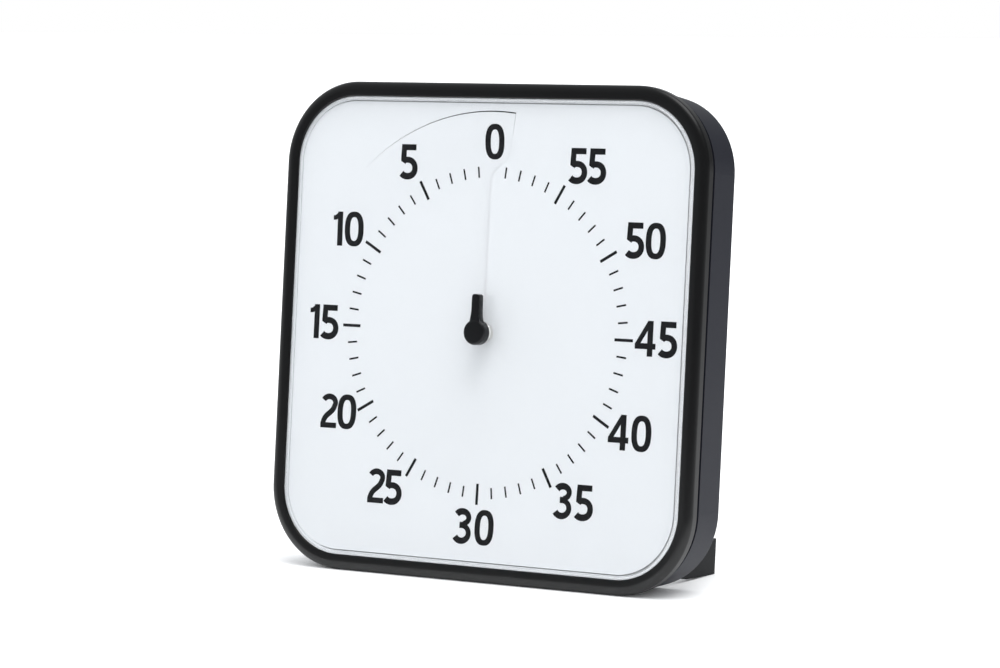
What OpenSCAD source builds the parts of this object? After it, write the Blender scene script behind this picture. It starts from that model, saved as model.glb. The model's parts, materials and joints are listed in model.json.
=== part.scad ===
// Visual countdown timer for a table or a wall.
// A red disc turns out through a radial slit in a white dial and shows the minutes left.
// Each piece is drawn in the dial frame: X right, Y up the face, Z towards the viewer,
// origin where the spindle crosses the dial. stand() leans the whole timer back on its
// feet, with +Z up, the face towards -Y and the lowest edges on z = 0.

/* [Case] */
// Width and height of the square face, mm
face_w = 304; // [290:1:320]
// Outer corner radius of the front bezel, mm
corner_r = 51; // [46:0.5:56]
// Visible width of the bezel round the lens, mm
bezel_w = 9.3; // [8.8:0.1:11]
// Depth of the bezel behind the dial, down to the seam, mm
seam_depth = 4.4; // [4:0.1:6]
// Depth of the back face behind the dial, mm
back_depth = 39.5; // [38:0.5:44]
// Wall thickness of the mouldings, mm
wall = 2.5; // [2:0.1:3]
// Draft of the rear shell, degrees
shell_draft = 5.1; // [2:0.1:5.5]

/* [Stand] */
// How far the face leans back, degrees
lean = 6; // [4:0.5:8]
// Length of a foot from its hinge pin to its tip, mm
foot_len = 63.3; // [58:0.1:66]
// Thickness of a foot, mm
foot_t = 4; // [3:0.5:4]
// Distance of a foot's outer side from the middle of the case, mm
foot_x = 113; // [105:0.5:113]

/* [Dial and disc] */
// Radius of the ring of minute marks, mm
tick_r = 98; // [96:0.5:100]
// Radius of the red disc, mm
disc_r = 91.5; // [80:0.5:92]
// Rise of the disc over one full turn, mm
disc_pitch = 1.8; // [1.6:0.1:1.9]
// Thickness of the dial sheet, mm
dial_t = 0.5; // [0.4:0.05:0.55]
// Thickness of the disc sheet, mm
disc_t = 0.4; // [0.3:0.05:0.45]
// Radius of the arc slot that frees the flap of the dial, mm
arc_r = 133.5; // [130:0.5:134]

/* [Knob] */
// Diameter of the knob's hub, mm
knob_d = 15; // [13:0.5:17]
// Height of the knob's front above the dial, mm
knob_top = 12.6; // [12:0.1:14]
// Reach of the knob's lever from the spindle, mm
lever_reach = 23.3; // [20:0.1:26]
// Diameter of the spindle, mm
spindle_d = 5; // [4.5:0.1:5]

/* [Going train] */
// Module of the wheels and pinions, mm
gear_m = 0.4; // [0.36:0.01:0.4]
// Teeth of every pinion
pinion_teeth = 8; // [8]
// Teeth of the centre wheel
centre_teeth = 64; // [64]
// Teeth of the third wheel
third_teeth = 60; // [60]
// Teeth of the seconds wheel
seconds_teeth = 60; // [60]
// Teeth of the intermediate wheel
intermediate_teeth = 32; // [32]

/* [Hidden] */
$fn = 96;
eps = 0.01;            // overlap that lets one cut run cleanly through a face
run_gap = 0.05;        // radial clearance of a shaft that turns in its hole

// --- case outline ---
half = face_w / 2;
core = half - corner_r;                    // centres of the four corner arcs
opening_d = corner_r - bezel_w;            // the bezel's inner edge, from those centres
edge_r = 3.5;                              // rounding of the bezel's outer front edge
lip_z = 2.5;                               // front of the bezel's inner edge
lip_under = 1.7;                           // seat of the lens flange under that edge
sheet_d = corner_r - 7.5;                  // outline of the lens, dial and carrier
screw_d = corner_r - 5.6;                  // ring of screws that hold the carrier
shell_d = corner_r - 1.2;                  // rear shell at the seam
back_edge_r = 2.5;                         // rounding of the rear shell's back edge
groove_end = 9;                            // back of the shadow groove behind the seam
groove_depth = 1.2;
back_inner = back_depth - wall;
contact_cut = 0.15;                        // depth of the flats worn on the contact edges

// --- stack in front of and behind the dial, as heights towards the viewer ---
lens_in = 1.6;
lens_out = 3;
carrier_dish = -2.6;
carrier_floor = -5.5;
carrier_back = -7.5;
movement_front = -8.1;
movement_seam = -22.6;
movement_back = -24.1;
collar_z = 1.4;
knob_z = 6.2;
flange_z = -11.65;                         // spindle flange under the centre wheel

// --- the stand: where the row frame's origin lies ---
foot_z = -(back_depth - foot_t / 2 - 0.1); // hinge axis of the feet
hinge_x = foot_x - foot_t / 2;
foot_top = -119.9;
tip_round = 1;
ground = half * cos(lean) + seam_depth * sin(lean) - contact_cut;
front_reach = (half - edge_r) * sin(lean) + edge_r;
rear_reach = (foot_top - tip_round) * sin(lean)
    + (foot_len - tip_round - foot_z) * cos(lean) + tip_round;
mid_y = (rear_reach - front_reach) / 2;
tip_z = foot_z - foot_len;
tip_y = (-ground - contact_cut - tip_z * sin(lean)) / cos(lean);

module stand() {
    translate([0, -mid_y, ground]) rotate([90 - lean, 0, 0]) children();
}

// Cuts away what would reach below the table top.
module on_table() {
    difference() {
        stand() children();
        translate([-face_w, -face_w, -face_w]) cube([2 * face_w, 2 * face_w, face_w]);
    }
}

// --- outlines that follow the case ---
module case_outline(d) {
    square([2 * (core + d), 2 * core], center = true);
    square([2 * core, 2 * (core + d)], center = true);
    for (x = [-core, core], y = [-core, core]) translate([x, y]) circle(d);
}

module case_plate(d, low, high) {
    translate([0, 0, low]) linear_extrude(high - low) case_outline(d);
}

// Sweeps a profile round the case. The profile's x is the distance from the corner
// centres and its y is the height towards the viewer.
module around_case() {
    for (quarter = [0:3]) rotate([0, 0, 90 * quarter]) {
        translate([core, core, 0]) rotate_extrude(angle = 90) children();
        translate([core, core, 0]) rotate([90, 0, 0]) linear_extrude(2 * core) children();
    }
}

module at_bezel_screws() {
    corner = core + screw_d * sin(45);
    for (x = [-corner, corner], y = [-corner, corner]) translate([x, y, 0]) children();
    for (x = [-core - screw_d, core + screw_d]) translate([x, 0, 0]) children();
}

module at_case_screws() {
    corner = core + 33 * sin(45);
    for (x = [-corner, corner], y = [-corner, corner]) translate([x, y, 0]) children();
}

module tube(r_out, r_in, low, high) {
    translate([0, 0, low]) difference() {
        cylinder(high - low, r = r_out);
        translate([0, 0, -1]) cylinder(high - low + 2, r = r_in);
    }
}

module rod(r, low, high) {
    translate([0, 0, low]) cylinder(high - low, r = r);
}

module block(x, y, z) {
    translate([x[0], y[0], z[0]]) cube([x[1] - x[0], y[1] - y[0], z[1] - z[0]]);
}

module rounded_block(w, h, r, low, high) {
    translate([0, 0, low]) linear_extrude(high - low) {
        square([w, h - 2 * r], center = true);
        square([w - 2 * r, h], center = true);
        for (x = [-1, 1], y = [-1, 1]) translate([x * (w / 2 - r), y * (h / 2 - r)]) circle(r);
    }
}

// A pan-head screw that points towards the viewer, with its head's seat at height 0.
module screw(head_r, head_h, shank_r, length) {
    difference() {
        union() {
            rod(head_r, -head_h, 0);
            rod(shank_r, -eps, length);
        }
        for (a = [0, 90]) rotate([0, 0, a]) {
            block([-0.3, 0.3], [-head_r * 0.6, head_r * 0.6], [-head_h - 1, -head_h * 0.45]);
        }
    }
}

// --- front bezel ---
bezel_skin = 2.3;
boss_clear = 3.3;                          // notches round the bezel's screw bosses

module bezel_profile() {
    ridge = corner_r - edge_r;
    difference() {
        union() {
            translate([ridge, 0]) circle(edge_r);
            polygon([
                [corner_r, -seam_depth], [corner_r, 0], [ridge, edge_r],
                [opening_d + 0.6, lip_z + 0.1], [opening_d, lip_z - 0.4],
                [opening_d, lip_under], [sheet_d, lip_under], [sheet_d, -seam_depth]
            ]);
        }
        polygon([
            [sheet_d - 1, lip_under], [sheet_d + 1.2, lip_under],
            [corner_r - bezel_skin, -0.4], [corner_r - bezel_skin, -seam_depth - 1],
            [sheet_d - 1, -seam_depth - 1]
        ]);
    }
}

module front_bezel() {
    boss_r = 3;
    boss_foot = -2.5;
    color([0.11, 0.11, 0.12]) on_table() difference() {
        union() {
            around_case() bezel_profile();
            at_bezel_screws() rod(boss_r, boss_foot, lip_under + 0.2);
        }
        at_bezel_screws() rod(1.2, boss_foot - 1, 1.2);
    }
}

// --- lens: clear moulding with a bevelled rim and a flange that the bezel traps ---
module lens() {
    rim = opening_d - 0.2;
    bevel = 1.6;
    wall_in = 2.9;                         // inner side of the wall that rests on the dial
    color([0.85, 0.92, 0.96, 0.35]) stand() difference() {
        union() {
            case_plate(rim - bevel, lens_in, lens_out);
            around_case() polygon([
                [rim - wall_in, lens_in], [rim - bevel, lens_out], [rim, lip_under],
                [sheet_d - 0.2, lip_under], [sheet_d - 0.2, 0], [rim - wall_in + 0.8, 0]
            ]);
        }
        rod(6.4, lens_in - 1, lens_out + 1);
        at_bezel_screws() rod(boss_clear, -1, lip_under + 1);
    }
}

// --- dial: one sheet, cut along a radius and pressed into a single turn of a screw ---
dial_hole = 6.2;
screw_r = 93;                              // the turn of screw ends here
slit_swerve = -6.6;                        // the slit swings right, round the numeral 0
slit_half = 0.15;
dial_steps = 90;
dial_rings = [dial_hole, 50, screw_r, 98, 103, 108, 113, 119, 125, 130, arc_r];
slit_end = len(dial_rings) - 1;

function smooth(t) = let (u = min(max(t, 0), 1)) u * u * (3 - 2 * u);
function slit_angle(r) = slit_swerve * smooth((r - screw_r) / 17);
function screw_share(r) = 1 - smooth((r - screw_r) / (arc_r - screw_r));
function slit_gap(r) = r < arc_r ? asin(slit_half / r) : 0;
function dial_angle(r, u) = slit_angle(r) + slit_gap(r) + u * (360 - 2 * slit_gap(r));
function dial_height(r, u) = disc_pitch * (u - 1) * screw_share(r);

// Distance from the centre to the case outline at distance d, along a direction a.
function ray(d, a) =
    let (
        c = abs(cos(a)),
        s = abs(sin(a)),
        flat = (core + d) / max(c, s),
        x = flat * c,
        y = flat * s,
        b = core * (c + s)
    )
    min(x, y) <= core ? flat : b + sqrt(b * b - 2 * core * core + d * d);

// A point at radius r and angle a anticlockwise from twelve o'clock.
function polar(r, a, z) = [-r * sin(a), r * cos(a), z];

// Closed sheet over a polar grid. Rings up to split are open along the slit.
module slit_sheet(front, back, rings, steps, split) {
    open_row = steps + 1;
    function row(i) = i < split ? i * open_row : split * open_row + (i - split) * steps;
    total = row(rings);
    function at(i, j) = row(i) + (i >= split && j == steps ? 0 : j);
    function quad(a, b, c, d) = [[a, b, c], [a, c, d]];
    faces = [
        for (i = [0:rings - 2], j = [0:steps - 1]) each concat(
            quad(at(i, j), at(i, j + 1), at(i + 1, j + 1), at(i + 1, j)),
            quad(total + at(i, j), total + at(i + 1, j),
                 total + at(i + 1, j + 1), total + at(i, j + 1))
        ),
        for (j = [0:steps - 1]) each concat(
            quad(at(0, j), total + at(0, j), total + at(0, j + 1), at(0, j + 1)),
            quad(at(rings - 1, j), at(rings - 1, j + 1),
                 total + at(rings - 1, j + 1), total + at(rings - 1, j))
        ),
        for (i = [0:min(split, rings - 1) - 1]) each concat(
            quad(at(i, 0), at(i + 1, 0), total + at(i + 1, 0), total + at(i, 0)),
            quad(at(i, steps), total + at(i, steps),
                 total + at(i + 1, steps), at(i + 1, steps))
        )
    ];
    polyhedron(concat(front, back), faces, convexity = 6);
}

function dial_points(drop) = [
    for (i = [0:slit_end + 1])
        for (j = [0:(i < slit_end ? dial_steps : dial_steps - 1)])
            let (
                u = j / dial_steps,
                r = dial_rings[min(i, slit_end)],
                a = dial_angle(r, u)
            )
            polar(i > slit_end ? ray(sheet_d - 0.2, a + 90) : r, a, dial_height(r, u) - drop)
];

// Crescent between two equal circles, widest beside the slit and closed at its far end.
module arc_slot() {
    cusp = 39.6;
    shift = 1.25;
    big = arc_r + 0.4;
    direction = cusp - 90;
    linear_extrude(20, center = true) intersection() {
        difference() {
            circle(big, $fn = 240);
            translate([shift * sin(direction), -shift * cos(direction)]) circle(big, $fn = 240);
        }
        polygon([
            [0, 0], for (a = [slit_swerve - 0.4, 10, 25, cusp - 2.5])
                [-1.2 * arc_r * sin(a), 1.2 * arc_r * cos(a)]
        ]);
    }
}

module dial() {
    color([0.95, 0.96, 0.98]) stand() difference() {
        slit_sheet(dial_points(0), dial_points(dial_t), slit_end + 2, dial_steps, slit_end);
        arc_slot();
        at_bezel_screws() rod(boss_clear, -5, 5);
    }
}

// --- dial carrier: dished moulding that backs the dial and carries the movement ---
module dial_carrier() {
    rim_back = -dial_t - 2;
    dish_r = arc_r + 1.5;
    cup_r = disc_r + 5.5;
    boss_end = -12;
    color([0.13, 0.13, 0.14]) stand() difference() {
        union() {
            difference() {
                case_plate(sheet_d - 0.2, rim_back, -dial_t);
                rod(dish_r, rim_back - 1, 1);
            }
            tube(dish_r + 2, dish_r, carrier_dish - 2, -dial_t);
            tube(dish_r + 2, cup_r, carrier_dish - 2, carrier_dish);
            tube(cup_r + 2, cup_r, carrier_back, carrier_dish);
            rod(cup_r + 2, carrier_back, carrier_floor);
            for (a = [22.5:45:359]) rotate([0, 0, a]) {
                block([cup_r + 1, dish_r + 1], [-1, 1], [carrier_back, carrier_dish - 1]);
            }
            intersection() {
                at_bezel_screws() rod(4.4, rim_back - 2, rim_back + 1);
                case_plate(sheet_d + 3, rim_back - 3, 1);
            }
            at_case_screws() rod(3.6, boss_end, rim_back + 0.5);
        }
        rod(4.2, carrier_back - 1, 0);
        at_bezel_screws() {
            rod(boss_clear, rim_back, 1);
            rod(1.5, rim_back - 3, 1);
        }
        at_case_screws() rod(1.25, boss_end - 1, -3.5);
    }
}

module bezel_screws() {
    color([0.7, 0.7, 0.72]) stand() at_bezel_screws() {
        translate([0, 0, -dial_t - 4]) screw(2.3, 1.5, 1.2, 5.5);
    }
}

// --- time disc: one turn of the same screw as the dial, half a pitch behind it at rest ---
hub_r = 6.05;
disc_front = -disc_pitch * 1.5 - (dial_t - disc_t) / 2;
disc_steps = 72;
disc_rings = [hub_r - 0.7, 50, disc_r];

function disc_points(drop) = [
    for (r = disc_rings, j = [0:disc_steps])
        let (turn = 1 + 358 * j / disc_steps)
        polar(r, turn, disc_front + disc_pitch * turn / 360 - drop)
];

module time_disc() {
    color([0.85, 0.1, 0.12]) stand() slit_sheet(
        disc_points(0), disc_points(disc_t), len(disc_rings), disc_steps, len(disc_rings)
    );
}

spindle_r = spindle_d / 2;
drive_flat = 0.5;                          // depth of the flat that turns the disc

module drive_section(r, flat) {
    difference() {
        circle(r);
        translate([r - flat, -r]) square([r, 2 * r]);
    }
}

module disc_hub() {
    hub_back = -3.4;
    hub_front = -0.5;
    color([0.93, 0.93, 0.94]) stand() translate([0, 0, hub_back]) difference() {
        cylinder(hub_front - hub_back, r = hub_r);
        translate([0, 0, -1]) linear_extrude(hub_front - hub_back + 2) {
            drive_section(spindle_r + run_gap, drive_flat);
        }
    }
}

// --- knob, collar and spindle ---
lever_w = 4.9;

module knob() {
    hub = knob_d / 2;
    soft = 0.8;
    color([0.1, 0.1, 0.1]) stand() difference() {
        union() {
            translate([0, 0, knob_z]) rotate_extrude() {
                square([hub - soft, knob_top - knob_z]);
                square([hub, knob_top - knob_z - soft]);
                translate([hub - soft, knob_top - knob_z - soft]) circle(soft, $fn = 32);
            }
            translate([0, 0, knob_z + 0.8]) linear_extrude(knob_top - knob_z - 1.2) {
                polygon([
                    [-lever_w / 2 - 1.4, 4], [-lever_w / 2 - 0.3, 9.5],
                    [-lever_w / 2, lever_reach - 1], [lever_w / 2, lever_reach - 1],
                    [lever_w / 2 + 0.3, 9.5], [lever_w / 2 + 1.4, 4]
                ]);
                translate([-lever_w / 2 + 1, lever_reach - 2]) square([lever_w - 2, 2]);
                for (x = [-1, 1]) translate([x * (lever_w / 2 - 1), lever_reach - 1]) {
                    circle(1, $fn = 32);
                }
            }
        }
        rod(spindle_r, knob_z - 1, knob_top - 1.2);
    }
}

module knob_collar() {
    color([0.93, 0.93, 0.94]) stand() tube(6, spindle_r, collar_z, knob_z);
}

module spindle() {
    color([0.75, 0.75, 0.78]) stand() {
        rod(1, movement_seam - 0.6, flange_z);
        rod(4, flange_z - 0.6, flange_z);
        rod(spindle_r, flange_z, carrier_floor + 1);
        translate([0, 0, carrier_floor + 1]) linear_extrude(collar_z - carrier_floor - 1) {
            drive_section(spindle_r, drive_flat);
        }
        rod(spindle_r, collar_z, knob_top - 1.2);
    }
}

module clutch_washer() {
    color([0.8, 0.65, 0.35]) stand() tube(3.6, spindle_r, -10.55, -10.15);
}

// --- movement: case, cover and going train ---
movement_w = 60;
movement_wall = 1.5;
post_at = 25.6;
nose_r = 4;
mesh_gap = 0.08;                           // extra centre distance of each pair
arbor_r = 0.5;

function pitch_r(teeth) = gear_m * teeth / 2;
function apart(wheel, angle) =
    (pitch_r(wheel) + pitch_r(pinion_teeth) + mesh_gap) * [cos(angle), sin(angle)];

third_dir = 155.5;
seconds_dir = 36;
intermediate_dir = -17;
rotor_dir = -30;
third_at = apart(centre_teeth, third_dir);
seconds_at = third_at + apart(third_teeth, seconds_dir);
intermediate_at = seconds_at + apart(seconds_teeth, intermediate_dir);
rotor_at = intermediate_at + apart(intermediate_teeth, rotor_dir);
arbors = [third_at, seconds_at, intermediate_at, rotor_at];

module at_movement_posts() {
    for (x = [-post_at, post_at], y = [-post_at, post_at]) translate([x, y, 0]) children();
}

module movement_case() {
    inner_front = movement_front - movement_wall;
    color([0.16, 0.16, 0.17]) stand() difference() {
        union() {
            difference() {
                rounded_block(movement_w, movement_w, 4, movement_seam, movement_front);
                rounded_block(movement_w - 2 * movement_wall, movement_w - 2 * movement_wall,
                              2.5, movement_seam - 1, inner_front);
            }
            at_movement_posts() rod(2.8, movement_seam, inner_front + eps);
            rod(nose_r, movement_front - eps, carrier_floor + 1.9);
        }
        rod(spindle_r + run_gap, inner_front - 1, 0);
        at_movement_posts() rod(0.9, movement_seam - 1, movement_seam + 8);
        for (p = arbors) translate([p[0], p[1], 0]) {
            rod(arbor_r + run_gap, inner_front - 1, inner_front + 0.75);
        }
    }
}

module movement_cover() {
    color([0.2, 0.2, 0.22]) stand() difference() {
        rounded_block(movement_w, movement_w, 4, movement_back, movement_seam);
        rod(1 + run_gap, movement_seam - 0.75, 0);
        at_movement_posts() rod(1.1, movement_back - 1, 0);
        for (p = arbors) translate([p[0], p[1], 0]) {
            rod(arbor_r + run_gap, movement_seam - 0.75, movement_seam + 1);
        }
    }
}

module movement_screws() {
    color([0.7, 0.7, 0.72]) stand() at_movement_posts() {
        translate([0, 0, movement_back]) screw(1.9, 1.2, 0.9, 6);
    }
}

module sealing_washer() {
    color([0.08, 0.08, 0.08]) stand() tube(9, nose_r + 0.2, movement_front, carrier_back);
}

module fixing_nut() {
    color([0.8, 0.68, 0.38]) stand() translate([0, 0, carrier_floor]) difference() {
        cylinder(1.8, r = 6.3, $fn = 6);
        translate([0, 0, -1]) cylinder(4, r = nose_r);
    }
}

// Outline of a wheel. Each tooth has a straight-sided flank with a narrow crest, and one
// tooth points along the direction aim.
module gear_outline(teeth, aim) {
    r = pitch_r(teeth);
    tooth = 360 / teeth;
    root = r - 1.2 * gear_m;
    crest = r + 0.8 * gear_m;
    flank = [[root, -0.27], [r, -0.19], [crest, -0.08], [crest, 0.08], [r, 0.19], [root, 0.27]];
    polygon([
        for (k = [0:teeth - 1], p = flank)
            p[0] * [cos(aim + tooth * (k + p[1])), sin(aim + tooth * (k + p[1]))]
    ]);
}

module gear(teeth, aim, low, high) {
    translate([0, 0, low]) linear_extrude(high - low) gear_outline(teeth, aim);
}

// A pinion has a gap, not a tooth, on the line to the wheel that it meets.
module pinion(wheel_dir, low, high) {
    gear(pinion_teeth, wheel_dir + 180 + 180 / pinion_teeth, low, high);
}

wheel_t = 0.8;
centre_z = -11.6;
third_z = -13.6;
seconds_z = -15.6;
intermediate_z = -17.6;
pivot_front = movement_front - movement_wall + 0.65;
pivot_back = movement_seam - 0.65;

module crossings(r_in, r_out, low) {
    for (a = [45:90:359]) rotate([0, 0, a]) {
        translate([(r_in + r_out) / 2, 0, 0]) rod((r_out - r_in) / 2, low - 1, low + 3);
    }
}

module wheel_and_pinion(at, teeth, aim, mate_dir, low, pinion_end) {
    color([0.85, 0.7, 0.35]) stand() translate([at[0], at[1], 0]) {
        difference() {
            gear(teeth, aim, low, low + wheel_t);
            if (teeth > 40) crossings(3, 9.5, low);
        }
        pinion(mate_dir, low + wheel_t, pinion_end);
        rod(arbor_r, pivot_back, pivot_front);
    }
}

module centre_wheel() {
    color([0.85, 0.7, 0.35]) stand() difference() {
        gear(centre_teeth, third_dir, centre_z, centre_z + 1);
        rod(spindle_r + run_gap, centre_z - 1, 0);
        crossings(4.5, 10, centre_z);
    }
}

module third_wheel() {
    wheel_and_pinion(third_at, third_teeth, seconds_dir, third_dir, third_z, -10.3);
}

module seconds_wheel() {
    wheel_and_pinion(seconds_at, seconds_teeth, intermediate_dir, seconds_dir, seconds_z, -12.5);
}

module intermediate_wheel() {
    wheel_and_pinion(intermediate_at, intermediate_teeth, rotor_dir, intermediate_dir,
                     intermediate_z, -14.5);
}

rotor_low = -21.5;
rotor_high = -18.5;

module rotor() {
    color([0.35, 0.35, 0.38]) stand() translate([rotor_at[0], rotor_at[1], 0]) {
        rod(3, rotor_low, rotor_high);
        rod(1.1, rotor_high - eps, -18);
        pinion(rotor_dir, -18 - eps, -16.4);
        rod(arbor_r, pivot_back, pivot_front);
    }
}

stator_low = -20.6;
stator_high = -19.6;
core_top = -17.2;
core_y = -21;

// One soft-iron plate: a pole ring round the rotor and two limbs down to the coil's core.
module stator() {
    limb = 4;
    right = rotor_at[0] + 3.5;
    left = -17;
    color([0.55, 0.56, 0.6]) stand() difference() {
        union() {
            translate([rotor_at[0], rotor_at[1], 0]) rod(5.4, stator_low, stator_high);
            block([right - limb / 2, right + limb / 2], [core_y - 2, rotor_at[1]],
                  [stator_low, stator_high]);
            block([rotor_at[0] - 5.4, rotor_at[0] - 1.8], [-11, rotor_at[1]],
                  [stator_low, stator_high]);
            block([left, rotor_at[0] - 1.8], [-14.4, -10.8], [stator_low, stator_high]);
            block([left, left + limb], [core_y - 2, -10.8], [stator_low, stator_high]);
            block([left, right + limb / 2], [core_y - 1.2, core_y + 1.2],
                  [stator_high - eps, core_top]);
        }
        translate([rotor_at[0], rotor_at[1], 0]) rod(3.6, stator_low - 1, 0);
        block([rotor_at[0] - 1.2, rotor_at[0] + 0.9], [core_y + 4, rotor_at[1]],
              [stator_low - 1, stator_high + 1]);
    }
}

module coil() {
    mid = (stator_high + core_top) / 2;
    color([0.72, 0.4, 0.2]) stand() translate([0, core_y, mid]) rotate([0, 90, 0]) difference() {
        union() {
            rod(3.2, -11, 17);
            rod(3.7, -12, -11);
            rod(3.7, 17, 18);
        }
        translate([0, 0, 3]) cube([2.6, 2.6, 40], center = true);
    }
}

// --- rear shell ---
switch_x = 66;
switch_y = 8;
sounder_x = 66;
sounder_y = -12;
battery_y = -62;
hanger_y = 110;
pocket_floor = -34.8;
pocket_in = hinge_x - foot_len - 1.5;
pocket_top = foot_top + 0.4;
pocket_low = -144.4;
hinge_low = -142;

module shell_section(inset) {
    back_d = shell_d - (back_depth - back_edge_r - seam_depth) * tan(shell_draft);
    groove_d = shell_d - (groove_end - seam_depth) * tan(shell_draft);
    groove = inset == 0 ? groove_depth : 0;
    polygon([
        [0, -seam_depth], [shell_d - inset - groove, -seam_depth],
        if (groove > 0) [groove_d - groove, -groove_end],
        if (groove > 0) [groove_d, -groove_end],
        [back_d - inset, -back_depth + back_edge_r],
        [back_d - back_edge_r, -back_depth + inset], [0, -back_depth + inset]
    ]);
    if (inset == 0) translate([back_d - back_edge_r, -back_depth + back_edge_r]) {
        circle(back_edge_r);
    }
}

module shell_envelope() {
    around_case() shell_section(0);
    block([-core, core], [-core, core], [-back_depth, -seam_depth]);
}

module foot_pocket(side, grow) {
    mirror([side < 0 ? 1 : 0, 0, 0]) {
        block([pocket_in - grow, hinge_x - 7 + grow], [pocket_low - grow, pocket_top + grow],
              [-back_depth - 1 + grow, pocket_floor + grow]);
        block([hinge_x - 8, foot_x + 0.3 + grow], [hinge_low - grow, pocket_top + grow],
              [-back_depth - 1 + grow, pocket_floor + grow]);
    }
}

module foot_axis(side, low, high, r) {
    translate([side * hinge_x, high, foot_z]) rotate([90, 0, 0]) cylinder(high - low, r = r);
}

module rear_shell() {
    post_r = 4;
    color([0.2, 0.2, 0.22]) stand() intersection() {
        shell_envelope_with_tongue();
        difference() {
            union() {
                difference() {
                    translate([0, 0, -back_depth]) cube([face_w, face_w, 2 * back_depth], true);
                    around_case() shell_section(wall);
                    block([-core, core], [-core, core], [-back_depth + wall, 0]);
                }
                around_case() tongue_profile();
                at_case_screws() rod(post_r, -back_depth, -12);
                for (side = [-1, 1]) foot_pocket(side, 1.8);
                translate([0, hanger_y, 0]) rounded_block(44, 50, 4, -back_depth, -back_inner + 2);
                block([-36, 36], [battery_y - 17, battery_y + 15], [-back_depth, -back_inner + 2.5]);
                for (p = board_posts) translate([p[0], p[1], 0]) rod(2.6, -back_depth, board_z);
                back_ribs();
            }
            at_case_screws() {
                rod(2.9, -back_depth - 1, -17);
                rod(1.5, -20, -11);
            }
            at_bezel_screws() {
                rod(5, -4.75, 0);
                rod(2.6, -6.6, 0);
            }
            for (side = [-1, 1]) {
                foot_pocket(side, 0);
                foot_axis(side, hinge_low, pocket_top, 2.8);
                foot_axis(side, hinge_low - 2.2, pocket_top + 4, 1.2);
            }
            translate([0, hanger_y, 0]) {
                rounded_block(34.4, 40.4, 3, -back_depth - 1, -back_depth + 1.5);
                rounded_block(22, 30, 3, -back_depth, 0);
                for (x = [-14, 14]) translate([x, 0, 0]) rod(1, -back_depth, -back_inner + 1);
            }
            translate([0, battery_y, 0]) {
                rounded_block(66.6, 24.6, 3.3, -back_depth - 1, -back_depth + 2);
                rounded_block(61.2, 19.2, 1, -back_depth, 0);
            }
            block([-31.3, 31.3], [door_y - 1.95, battery_y - 9], [-back_depth - 1, -back_depth + 2]);
            along_x(door_y, door_z, -31.3, 31.3, 1.95);
            along_x(door_y, door_z, -32.8, 32.8, 0.85);
            translate([0, battery_y + 12.2, -back_depth - 0.9]) sphere(2.8);
            translate([switch_x, switch_y, 0]) rounded_block(11, 4.6, 1, -back_depth - 1, -30);
            translate([sounder_x, sounder_y, 0]) {
                rod(0.9, -back_depth - 1, -30);
                for (a = [0:60:359]) rotate([0, 0, a]) translate([3.6, 0, 0]) {
                    rod(0.9, -back_depth - 1, -30);
                }
            }
            for (p = board_posts) translate([p[0], p[1], 0]) rod(0.9, board_z - 5, board_z + 1);
        }
    }
}

// Low ribs that stiffen the flat back.
module back_ribs() {
    low = -back_depth + 1;
    high = -back_inner + 2.5;
    for (x = [-28, 28]) block([x - 0.6, x + 0.6], [battery_y + 14, hanger_y - 24], [low, high]);
    for (y = [-95, 55]) block([-face_w / 2, face_w / 2], [y - 0.6, y + 0.6], [low, high]);
}

module tongue_profile() {
    translate([shell_d - 4, -8]) square([2, 5.4]);
}

module shell_envelope_with_tongue() {
    shell_envelope();
    around_case() tongue_profile();
}

module case_screws() {
    color([0.3, 0.3, 0.32]) stand() at_case_screws() {
        translate([0, 0, -17]) screw(2.7, 2, 1.25, 11);
    }
}

// --- wall hanger: stamped plate with a keyhole ---
hanger_t = 1.5;

module hanger_plate() {
    color([0.72, 0.73, 0.75]) stand() translate([0, hanger_y, 0]) difference() {
        rounded_block(34, 40, 3, -back_depth, -back_depth + hanger_t);
        translate([0, -5, 0]) rod(4.5, -back_depth - 1, 0);
        translate([0, 8, 0]) rod(2.25, -back_depth - 1, 0);
        block([-2.25, 2.25], [-5, 8], [-back_depth - 1, 0]);
        for (x = [-14, 14]) translate([x, 0, 0]) rod(1, -back_depth - 1, 0);
    }
}

module hanger_screws() {
    color([0.7, 0.7, 0.72]) stand() for (x = [-14, 14]) {
        translate([x, hanger_y, -back_depth]) screw(1.8, 0.9, 1, 3.4);
    }
}

// --- battery compartment ---
cell_r = 7.15;
cell_len = 49;
cell_z = -28.6;
tray_front = -20;
door_t = 1.9;
door_r = 1.6;
door_y = battery_y - 12.4;
door_z = -back_depth + door_r;

module along_x(y, z, low, high, r) {
    translate([low, y, z]) rotate([0, 90, 0]) cylinder(high - low, r = r);
}

module battery_tray() {
    color([0.15, 0.15, 0.16]) stand() translate([0, battery_y, 0]) difference() {
        rounded_block(61, 19, 1, -back_depth + 2, tray_front);
        rounded_block(58, 16, 0.5, -back_depth + 1, tray_front - 1.3);
        for (x = [-28.2, 28.2]) translate([x, 0, 0]) block([-0.8, 0.8], [-3, 3], [-30, 0]);
    }
}

module battery_cell() {
    color([0.25, 0.27, 0.3]) stand() translate([-0.4, battery_y, cell_z]) rotate([0, 90, 0]) {
        rod(cell_r, -cell_len / 2, cell_len / 2);
        rod(2.7, cell_len / 2 - eps, cell_len / 2 + 1.3);
    }
}

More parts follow.
